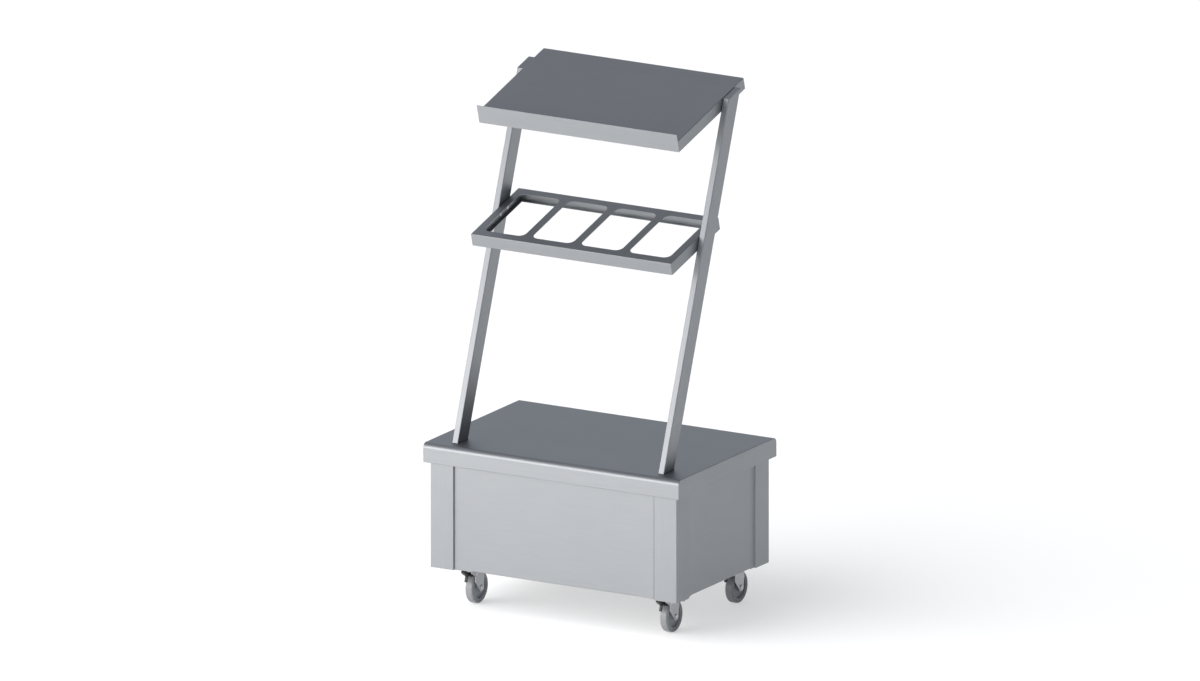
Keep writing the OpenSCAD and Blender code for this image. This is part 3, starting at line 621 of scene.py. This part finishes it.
dress(mirrored(post, "upright_tube_right", (-1, 1)), post_steel, "counter", "post_steel", "post_right")
dress(mirrored(cap, "tube_cap_right", (-1, 1)), post_steel, "counter", "post_steel")

seal_rim = 1 * mm
seal_height = 1.2 * mm
seal_corner = 3 * mm
seal_low = Vector((post_low.x - seal_rim, post_low.y - seal_rim, post_low.z))
seal_depth = post_depth / math.cos(lean) + 2.4 * seal_rim
seal_size = Vector((bar_end.x + 2 * seal_rim, seal_depth, seal_height))
painted_shade_seal_rubber = dark_seal()
# The seal is a real piece, but its near-black colour is painted shade at the posts' feet.
seal = start_box("foot_seal_left", seal_low, seal_low + seal_size)
round_corners(seal, seal_corner)
soften(seal, soft_edge)
dress(seal, painted_shade_seal_rubber, "counter", "pedal_black")
dress(mirrored(seal, "foot_seal_right", (-1, 1)), painted_shade_seal_rubber, "counter", "pedal_black")


# Container shelf
# A stainless sheet with four cut-outs for food containers. Its edges are turned down on all sides and
# their lower edges turned in, and it slopes towards the customer between the posts.
def shelf_pressing(name, width, depth, flange, front):
    """A level sheet with all its edges turned down and in, its front edge so far behind the X axis."""
    piece = start_box(name, Vector((-width / 2, front, -flange)), Vector((width / 2, depth, 0)))
    with shaping(piece):
        open_below(piece, shelf_lip)
        round_bends(piece, shelf_bend, 3)
    give_wall(piece, sheet)
    return piece


def on_slope(piece, front_edge):
    """Puts a piece made level in its place on the slope."""
    piece.data.transform(Matrix.Translation(front_edge) @ Matrix.Rotation(slope, 4, "X"))


shelf_lip = 13 * mm
shelf_bend = 1.6 * mm
shelf_edge = 0.35 * mm
pan_low, pan_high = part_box("pan_shelf")
pan_width = pan_high.x - pan_low.x
pan_depth = 300 * mm
pan_flange = 40 * mm
pan_front = Vector((0, pan_low.y, pan_high.z - pan_depth * math.sin(slope)))
cut_size = Vector((142 * mm, 240 * mm, 20 * mm))
cut_corner = 22 * mm
cut_pitch = 169 * mm
cut_front = 30 * mm
pan_steel = brushed_steel("pan_steel", satin, sideways, front_to_back, seed=7)
pan = shelf_pressing("container_shelf", pan_width, pan_depth, pan_flange, 0)
for place in (-1.5, -0.5, 0.5, 1.5):
    cut_low = Vector((place * cut_pitch - cut_size.x / 2, cut_front, -cut_size.z / 2))
    cutter = start_box("cutter", cut_low, cut_low + cut_size)
    round_corners(cutter, cut_corner, 8)
    cut = pan.modifiers.new("cut", "BOOLEAN")
    cut.object = cutter
    cut.solver = "EXACT"
    apply_last(pan)
    bpy.data.objects.remove(cutter)
soften(pan, shelf_edge)
on_slope(pan, pan_front)
dress(pan, pan_steel, "counter", "shelf_steel", "pan_shelf")


# Tray shelf
# A larger sheet made the same way, with a strip along its front that stands above the surface and keeps
# trays from sliding off, and a hat-shaped stiffener welded across its underside.
tray_low, tray_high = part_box("tray_shelf")
tray_width = tray_high.x - tray_low.x
tray_depth = 414 * mm
tray_flange = 38 * mm
tray_lip = 22 * mm
strip_edge = 0.55 * mm
tray_front = Vector((
    0,
    tray_low.y + tray_lip * math.sin(slope),
    tray_high.z - tray_depth * math.sin(slope),
))
tray_steel = brushed_steel("tray_steel", satin, sideways, front_to_back, seed=8)
tray = shelf_pressing("tray_sheet", tray_width, tray_depth, tray_flange, sheet)
soften(tray, shelf_edge, 1)
strip_low = Vector((-tray_width / 2, 0, -tray_flange))
strip_high = Vector((tray_width / 2, sheet, tray_lip))
strip = start_box("tray_front_strip", strip_low, strip_high)
soften(strip, strip_edge, 3)

hat_half = 30 * mm
hat_height = 18 * mm
hat_side = 16.5 * mm
hat_brim = 15 * mm
hat_reach = tray_width / 2 - 9.5 * mm
hat_low = Vector((-hat_reach, tray_depth / 2 - hat_half, -sheet - hat_height))
hat_high = Vector((hat_reach, tray_depth / 2 + hat_half, -sheet - hat_height))
hat = start_sheet("tray_stiffener_hat", hat_low, hat_high, -Z)
with shaping(hat):
    for side in (Y, -Y):
        fold(hat, side, hat_side * Z, hat_brim * side)
    round_bends(hat, sheet_bend)
give_wall(hat, sheet)
for piece in (tray, strip, hat):
    on_slope(piece, tray_front)
dress(tray, tray_steel, "counter", "shelf_steel", "tray_shelf")
dress(strip, tray_steel, "counter", "shelf_steel")
dress(hat, tray_steel, "counter", "shelf_steel", "tray_stiffener")


# Shelf screws
# Bright steel screws with domed heads and hexagon sockets. They pass through the shelves' sides into
# rivet nuts in the posts.
def solids_of(node):
    """The boxes of a CAD node's separate solids."""
    shape = bmesh.new()
    shape.from_mesh(frame["nodes"][node].data)
    bmesh.ops.remove_doubles(shape, verts=shape.verts, dist=0.001 * mm)
    left = set(shape.verts)
    boxes = []
    while left:
        group = [left.pop()]
        for corner in group:
            near = {edge.other_vert(corner) for edge in corner.link_edges} & left
            left -= near
            group.extend(near)
        spots = [corner.co for corner in group]
        low = Vector([min(spot[axis] for spot in spots) for axis in range(3)])
        high = Vector([max(spot[axis] for spot in spots) for axis in range(3)])
        boxes.append((low, high))
    shape.free()
    return sorted(boxes, key=lambda box: tuple(box[0]))


def turned(name, sides, radius, base, axis, height):
    """A prism or a round on an axis, from its base up, the start of a turned or hexagonal piece."""
    bpy.ops.object.select_all(action="DESELECT")
    bpy.ops.mesh.primitive_cylinder_add(
        vertices=sides, radius=radius, depth=height, location=base + height / 2 * axis,
        rotation=axis.to_track_quat("Z", "Y").to_euler(),
    )
    piece = named(bpy.context.object, name)
    bpy.ops.object.transform_apply(location=True, rotation=True, scale=True)
    return piece


def pick_end(piece, axis):
    """In edit mode, selects the flat end of a turned piece that faces along an axis."""
    pick(piece, "FACE", lambda face: face.normal.dot(axis) > 0.99 and len(face.verts) > 5)


def step_end(piece, axis, *steps):
    """Works on the flat end that faces along an axis: each step insets it and then moves it out or in."""
    with shaping(piece):
        pick_end(piece, axis)
        for inwards, move in steps:
            if inwards:
                bpy.ops.mesh.inset(thickness=inwards)
            if move:
                bpy.ops.mesh.extrude_region_move(TRANSFORM_OT_translate={"value": move * axis})


def joined(name, pieces):
    """Several small pieces as one."""
    take(pieces[0])
    for piece in pieces:
        piece.select_set(True)
    bpy.ops.object.join()
    return named(pieces[0], name)


def turned_steel(name, colour, roughness):
    """Plain turned or plated steel with faint tool marks and uneven plating."""
    finish = Finish(name, Metallic=1.0)
    place = finish.place()
    marks = finish.speckle(place, 700)
    patches = finish.speckle(place, 60, detail=3.0, seed=3)
    finish.feed(
        Base_Color=finish.mix(patches, tint(colour, 0.82), tint(colour, 1.15)),
        Roughness=roughness - 0.1 + 0.12 * patches + 0.1 * marks,
    )
    finish.bump(marks, 0.02 * mm)
    return finish.material


def screw_pieces(low, high):
    """A shelf screw: a domed head with a hexagon socket, on the side away from its post."""
    is_right = low.x > 0
    inwards = -X if is_right else X
    face = Vector((low.x if is_right else high.x, (low.y + high.y) / 2, (low.z + high.z) / 2))
    head = turned("screw", 32, screw_head, face - screw_seat * inwards, inwards, screw_head_height)
    step_end(head, inwards, (screw_rim, 0), (socket_taper, -socket_depth))
    shank = turned("shank", 24, screw_radius, face - screw_reach * inwards, inwards, screw_length)
    soften(head, screw_dome, 3)
    return [head, shank]


screw_head = 5.5 * mm
screw_head_height = 2.6 * mm
screw_seat = 3 * mm
screw_dome = 0.9 * mm
screw_rim = 2.9 * mm
socket_taper = 0.2 * mm
socket_depth = 1.8 * mm
screw_radius = 3 * mm
screw_reach = 14 * mm
screw_length = 11.5 * mm
bright_steel = turned_steel("bright_steel", (0.66, 0.665, 0.675), 0.3)
screw_parts = [part for box in solids_of("shelf_screws") for part in screw_pieces(*box)]
screws = joined("shelf_screw_heads", screw_parts)
dress(screws, bright_steel, "counter", "fastener_steel", "shelf_screws")


# Castor bolts
# Plated hexagon bolts with washers, four to a castor. They pass up through the mounting plates and the
# base channels, and carry a nut inside the channel.
def underside(low, high):
    """The middle of a box's underside."""
    return Vector(((low.x + high.x) / 2, (low.y + high.y) / 2, low.z))


def hexagon(name, radius, base, height, chamfer):
    """A bolt's head or a nut, with its sharp rims taken off."""
    piece = turned(name, 6, radius, base, Z, height)
    soften(piece, chamfer, sharp=70)
    return piece


def bolt_pieces(low, high):
    """A castor bolt seen from below: hexagon head, shank, washer and the nut above."""
    foot = underside(low, high)
    washer_level = bolt_head - washer_wall
    nut_foot = Vector((foot.x, foot.y, high.z - bolt_tail))
    return [
        hexagon("bolt", bolt_flats / math.sqrt(3), foot, washer_level, bolt_chamfer),
        turned("shank", 24, bolt_radius, foot + bolt_head / 2 * Z, Z, high.z - low.z - bolt_head / 2),
        turned("washer", 32, washer_radius, foot + washer_level * Z, Z, washer_wall),
        hexagon("nut", nut_radius, nut_foot, nut_height, bolt_chamfer),
    ]


bolt_flats = 13 * mm
bolt_head = 5.5 * mm
bolt_radius = 4 * mm
bolt_chamfer = 0.8 * mm
bolt_tail = 10.5 * mm
washer_wall = 0.8 * mm
washer_radius = 0.58 * bolt_flats
nut_radius = 7.5 * mm
nut_height = 6.5 * mm
plated_steel = turned_steel("plated_steel", (0.5, 0.505, 0.515), 0.42)
bolt_parts = [part for box in solids_of("castor_bolts") for part in bolt_pieces(*box)]
bolts = joined("castor_plate_bolts", bolt_parts)
dress(bolts, plated_steel, "counter", "fastener_steel", "castor_bolts")


# Castor plates
# Zinc-plated mounting plates with round corners, bolted under the base channels. Each one carries a ball
# race on its underside, which its fork turns on.
def on_castor(words, corner):
    """A name at the front left castor, changed to the same name at another castor."""
    return words.replace("_fl", "_" + corner)


def fit_castors(piece, material, body, slot, node):
    """Dresses the front left castor's piece, and a copy of it with its own mesh on each other castor."""
    for corner in ("fl", "fr", "rl", "rr"):
        here = piece
        if corner != "fl":
            here = mirrored(piece, on_castor(piece.name, corner), (1, 1))
            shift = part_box(on_castor("castor_fl_plate", corner))[0] - plate_low
            here.data.transform(Matrix.Translation(shift))
        dress(here, material, on_castor(body, corner), slot, on_castor(node, corner))


def zinc_plate():
    """Dull zinc plating, with uneven patches and fine specks."""
    finish = Finish("zinc_plate", Metallic=1.0)
    place = finish.place()
    patches = finish.speckle(place, 45, detail=4.0)
    specks = finish.speckle(place, 500, seed=4)
    finish.feed(
        Base_Color=finish.mix(patches, (0.38, 0.39, 0.405, 1), (0.56, 0.57, 0.585, 1)),
        Roughness=0.32 + 0.16 * patches + 0.08 * specks,
    )
    finish.bump(specks, 0.03 * mm)
    return finish.material


plate_low, plate_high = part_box("castor_fl_plate")
swivel = Vector(((plate_low.x + plate_high.x) / 2, (plate_low.y + plate_high.y) / 2, 0))
plate_wall = 3 * mm
plate_corner = 8 * mm
race_radius = 28 * mm
race_height = 4 * mm
race_edge = 0.7 * mm
race_steps = ((3.4 * mm, 0), (0.6 * mm, -1.2 * mm), (5 * mm, 1.2 * mm), (0.6 * mm, 0))
zinc = zinc_plate()
plate = start_box("castor_plate", Vector((plate_low.x, plate_low.y, plate_high.z - plate_wall)), plate_high)
round_corners(plate, plate_corner, 6)
soften(plate, soft_edge)
race = turned("race", 64, race_radius, swivel + plate_low.z * Z, Z, race_height)
step_end(race, -Z, *race_steps)
soften(race, race_edge)
fit_castors(joined("castor_top_plate_fl", [plate, race]), zinc, "counter", "castor_zinc", "castor_fl_plate")


# King pins
# Bright hexagon nuts on the pins that the forks turn about. They stay with the counter, and show from
# below, under the forks' crowns.
king_nut_radius = 9 * mm
king_nut_height = 6 * mm
king_pin_radius = 6 * mm
king_pin_end = 0.4 * mm
king_nut_chamfer = 1 * mm
king_pieces = []
for low, high in solids_of("kingpins"):
    foot = underside(low, high)
    king_pieces.append(hexagon("king_nut", king_nut_radius, foot, king_nut_height, king_nut_chamfer))
    king_pieces.append(turned("king_pin", 32, king_pin_radius, foot - king_pin_end * Z, Z, high.z - low.z))
dress(joined("king_pin_nuts", king_pieces), bright_steel, "counter", "fastener_steel", "kingpins")


# Castor forks
# Pressed from zinc-plated sheet: a crown under the ball race, and two cheeks that narrow down to the
# axle. Each one turns about its king pin.
def softened_copy(name, node, width, segments=2):
    """A copy of a CAD node's solid with its flat faces made whole and its edges softened."""
    piece = frame["nodes"][node].copy()
    piece.data = piece.data.copy()
    bpy.context.scene.collection.objects.link(piece)
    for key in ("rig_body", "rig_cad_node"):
        del piece[key]
    piece.parent = None
    piece.matrix_world = Matrix.Identity(4)
    named(piece, name)
    with shaping(piece):
        bpy.ops.mesh.select_all(action="SELECT")
        bpy.ops.mesh.remove_doubles(threshold=0.002 * mm)
        bpy.ops.mesh.dissolve_limited(angle_limit=math.radians(0.5))
    soften(piece, width, segments)
    return piece


fork = softened_copy("castor_fork_steel_fl", "castor_fl_fork", soft_edge)
fit_castors(fork, zinc, "swivel_fl", "castor_zinc", "castor_fl_fork")


# Castor wheels
# A dished core of grey moulded plastic turns on a sleeve round the axle, and carries a lighter grey
# rubber tyre that is moulded round its rim.
def bore_through(piece, rim):
    """Opens both flat ends of a round but for a rim, and joins the openings with a bore."""
    for side in (X, -X):
        with shaping(piece):
            pick_end(piece, side)
            bpy.ops.mesh.inset(thickness=rim)
            bpy.ops.mesh.delete(type="FACE")
    with shaping(piece):
        pick(piece, "EDGE", lambda edge: edge.is_boundary)
        bpy.ops.mesh.bridge_edge_loops()
        bpy.ops.mesh.select_all(action="SELECT")
        bpy.ops.mesh.normals_make_consistent(inside=False)


def wheel_plastic():
    """Grey moulded plastic with faint flow marks and fine specks."""
    finish = Finish("grey_wheel_plastic", IOR=1.49)
    place = finish.place()
    specks = finish.speckle(place, 1200)
    flow = finish.speckle(place, 30, detail=3.0, seed=2)
    finish.feed(
        Base_Color=finish.mix(flow, (0.25, 0.26, 0.275, 1), (0.33, 0.34, 0.355, 1)),
        Roughness=0.42 + 0.12 * specks,
    )
    finish.bump(specks, 0.03 * mm)
    return finish.material


def tyre_rubber():
    """Grey rubber with a little dust on it."""
    finish = Finish("grey_tyre_rubber", IOR=1.5)
    place = finish.place()
    dust = finish.speckle(place, 70, detail=4.0)
    grain = finish.speckle(place, 1500, seed=6)
    finish.feed(
        Base_Color=finish.mix(dust, (0.17, 0.175, 0.182, 1), (0.24, 0.246, 0.255, 1)),
        Roughness=0.28 + 0.2 * dust,
    )
    finish.bump(grain, 0.04 * mm)
    return finish.material


tyre_low, tyre_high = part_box("castor_fl_tyre")
axle = (tyre_low + tyre_high) / 2
tyre_half = (tyre_high.x - tyre_low.x) / 2
tyre_radius = 50 * mm
wheel_sides = 96
tyre_wall = 9 * mm
tyre_shoulder = 5 * mm
tyre_tread = tyre_radius - tyre_shoulder
tyre = turned("castor_tread_fl", wheel_sides, tyre_radius, axle - tyre_half * X, X, 2 * tyre_half)
bore_through(tyre, tyre_wall)
with shaping(tyre):
    pick(tyre, "EDGE", lambda edge: is_bend(edge) and (middle(edge) - axle).length > tyre_tread)
    round_edges(tyre_shoulder, 5)
soften(tyre, soft_edge)
fit_castors(tyre, tyre_rubber(), "wheel_fl", "tyre_grey", "castor_fl_tyre")

core_half = 12 * mm
core_radius = 41 * mm
core_boss = 10.4 * mm
core_bore = 6.2 * mm
core_edge = 0.4 * mm
rim_groove = ((1.2 * mm, 0), (0.6 * mm, -0.8 * mm), (1.4 * mm, 0), (0.6 * mm, 0.8 * mm), (0.8 * mm, 0))
dish = ((0.8 * mm, -7.6 * mm), (21.6 * mm, 0))
hub = ((0.6 * mm, 7.6 * mm), (2.6 * mm, 0), (0.4 * mm, 2.4 * mm))
core = turned("castor_wheel_core_fl", wheel_sides, core_radius, axle - core_half * X, X, 2 * core_half)
for side in (X, -X):
    step_end(core, side, *rim_groove, *dish, *hub)
bore_through(core, core_boss - core_bore)
soften(core, core_edge)
fit_castors(core, wheel_plastic(), "wheel_fl", "wheel_core", "castor_fl_core")


# Castor axles and pivots
# Bright riveted ends outside the fork's cheeks: the wheel's axle, dished at its ends, and the smaller
# pivot that the pedal tips on. Both turn with the fork.
cheek_outer = 17.5 * mm
axle_end = 7.4 * mm
axle_end_height = 3.2 * mm
axle_steps = ((1.6 * mm, 0.8 * mm), (3.2 * mm, 0), (0.3 * mm, -2.6 * mm))
axle_rod = 4 * mm
pivot_back = 11 * mm
pivot_level = 98.5 * mm
pivot = Vector((axle.x, swivel.y + pivot_back, pivot_level))
pivot_end = 4.5 * mm
pivot_end_height = 1.5 * mm
pivot_end_edge = 0.6 * mm
pivot_rod = 2.5 * mm
rivets = []
for side in (X, -X):
    head = turned("axle_end", 40, axle_end, axle + cheek_outer * side, side, axle_end_height)
    step_end(head, side, *axle_steps)
    soften(head, soft_edge)
    rivets.append(head)
    head = turned("pivot_end", 32, pivot_end, pivot + cheek_outer * side, side, pivot_end_height)
    soften(head, pivot_end_edge, 3)
    rivets.append(head)
rivets.append(turned("axle_rod", 24, axle_rod, axle - cheek_outer * X, X, 2 * cheek_outer))
rivets.append(turned("pivot_rod", 24, pivot_rod, pivot - cheek_outer * X, X, 2 * cheek_outer))
pins = joined("castor_axle_and_pivot_fl", rivets)
fit_castors(pins, bright_steel, "swivel_fl", "fastener_steel", "castor_fl_pins")


# Castor pedals
# Black coated steel foot brakes, with forked tips on the side away from the axles. Each one tips on the
# pivot between its fork's cheeks.
def black_coating():
    """Black coating with a fine peel and some scuffs."""
    finish = Finish("black_coat", IOR=1.5)
    place = finish.place()
    peel = finish.speckle(place, 350)
    scuffs = finish.speckle(place, 120, detail=5.0, seed=9)
    finish.feed(
        Base_Color=finish.mix(scuffs, (0.008, 0.008, 0.009, 1), (0.03, 0.03, 0.032, 1)),
        Roughness=0.35 + 0.2 * scuffs,
    )
    finish.bump(peel, 0.06 * mm)
    return finish.material


black_coat = black_coating()
pedal_edge = 0.8 * mm
pedal = softened_copy("castor_brake_pedal_fl", "castor_fl_pedal", pedal_edge, 3)
fit_castors(pedal, black_coat, "pedal_fl", "pedal_black", "castor_fl_pedal")


# Hidden and small parts
# The board, the brackets and screws that hold the worktop, the posts' fixings, the rivet nuts, the
# sleeves, the balls and the earth terminal keep their modelled shape and take a finish.
def pressed_board():
    """Board pressed from wood chips."""
    finish = Finish("pressed_board")
    place = finish.place()
    chips = finish.noise(place, (260, 260, 420), detail=3.0)
    fibres = finish.noise(place, (60, 60, 300), detail=5.0, seed=3)
    finish.feed(
        Base_Color=finish.mix(0.6 * chips + 0.4 * fibres, (0.33, 0.22, 0.12, 1), (0.66, 0.50, 0.32, 1)),
        Roughness=0.7 + 0.2 * fibres,
    )
    finish.bump(chips, 0.2 * mm)
    return finish.material


bronze = turned_steel("sleeve_bronze", (0.56, 0.40, 0.19), 0.4)
kept_nodes = {
    "underlay_board": pressed_board(),
    "post_foot_plates": channel_steel,
    "post_backing_plates": channel_steel,
    "post_bolts": plated_steel,
    "rivet_nuts": plated_steel,
    "top_brackets": channel_steel,
    "top_screws": plated_steel,
    "swivel_balls": turned_steel("ball_steel", (0.75, 0.755, 0.765), 0.2),
    "earth_bracket": plated_steel,
    "earth_bolt": black_coat,
    "castor_fl_bush": bronze,
    "castor_fr_bush": bronze,
    "castor_rl_bush": bronze,
    "castor_rr_bush": bronze,
}
for node, material in kept_nodes.items():
    frame["nodes"][node].data.materials.clear()
    frame["nodes"][node].data.materials.append(material)
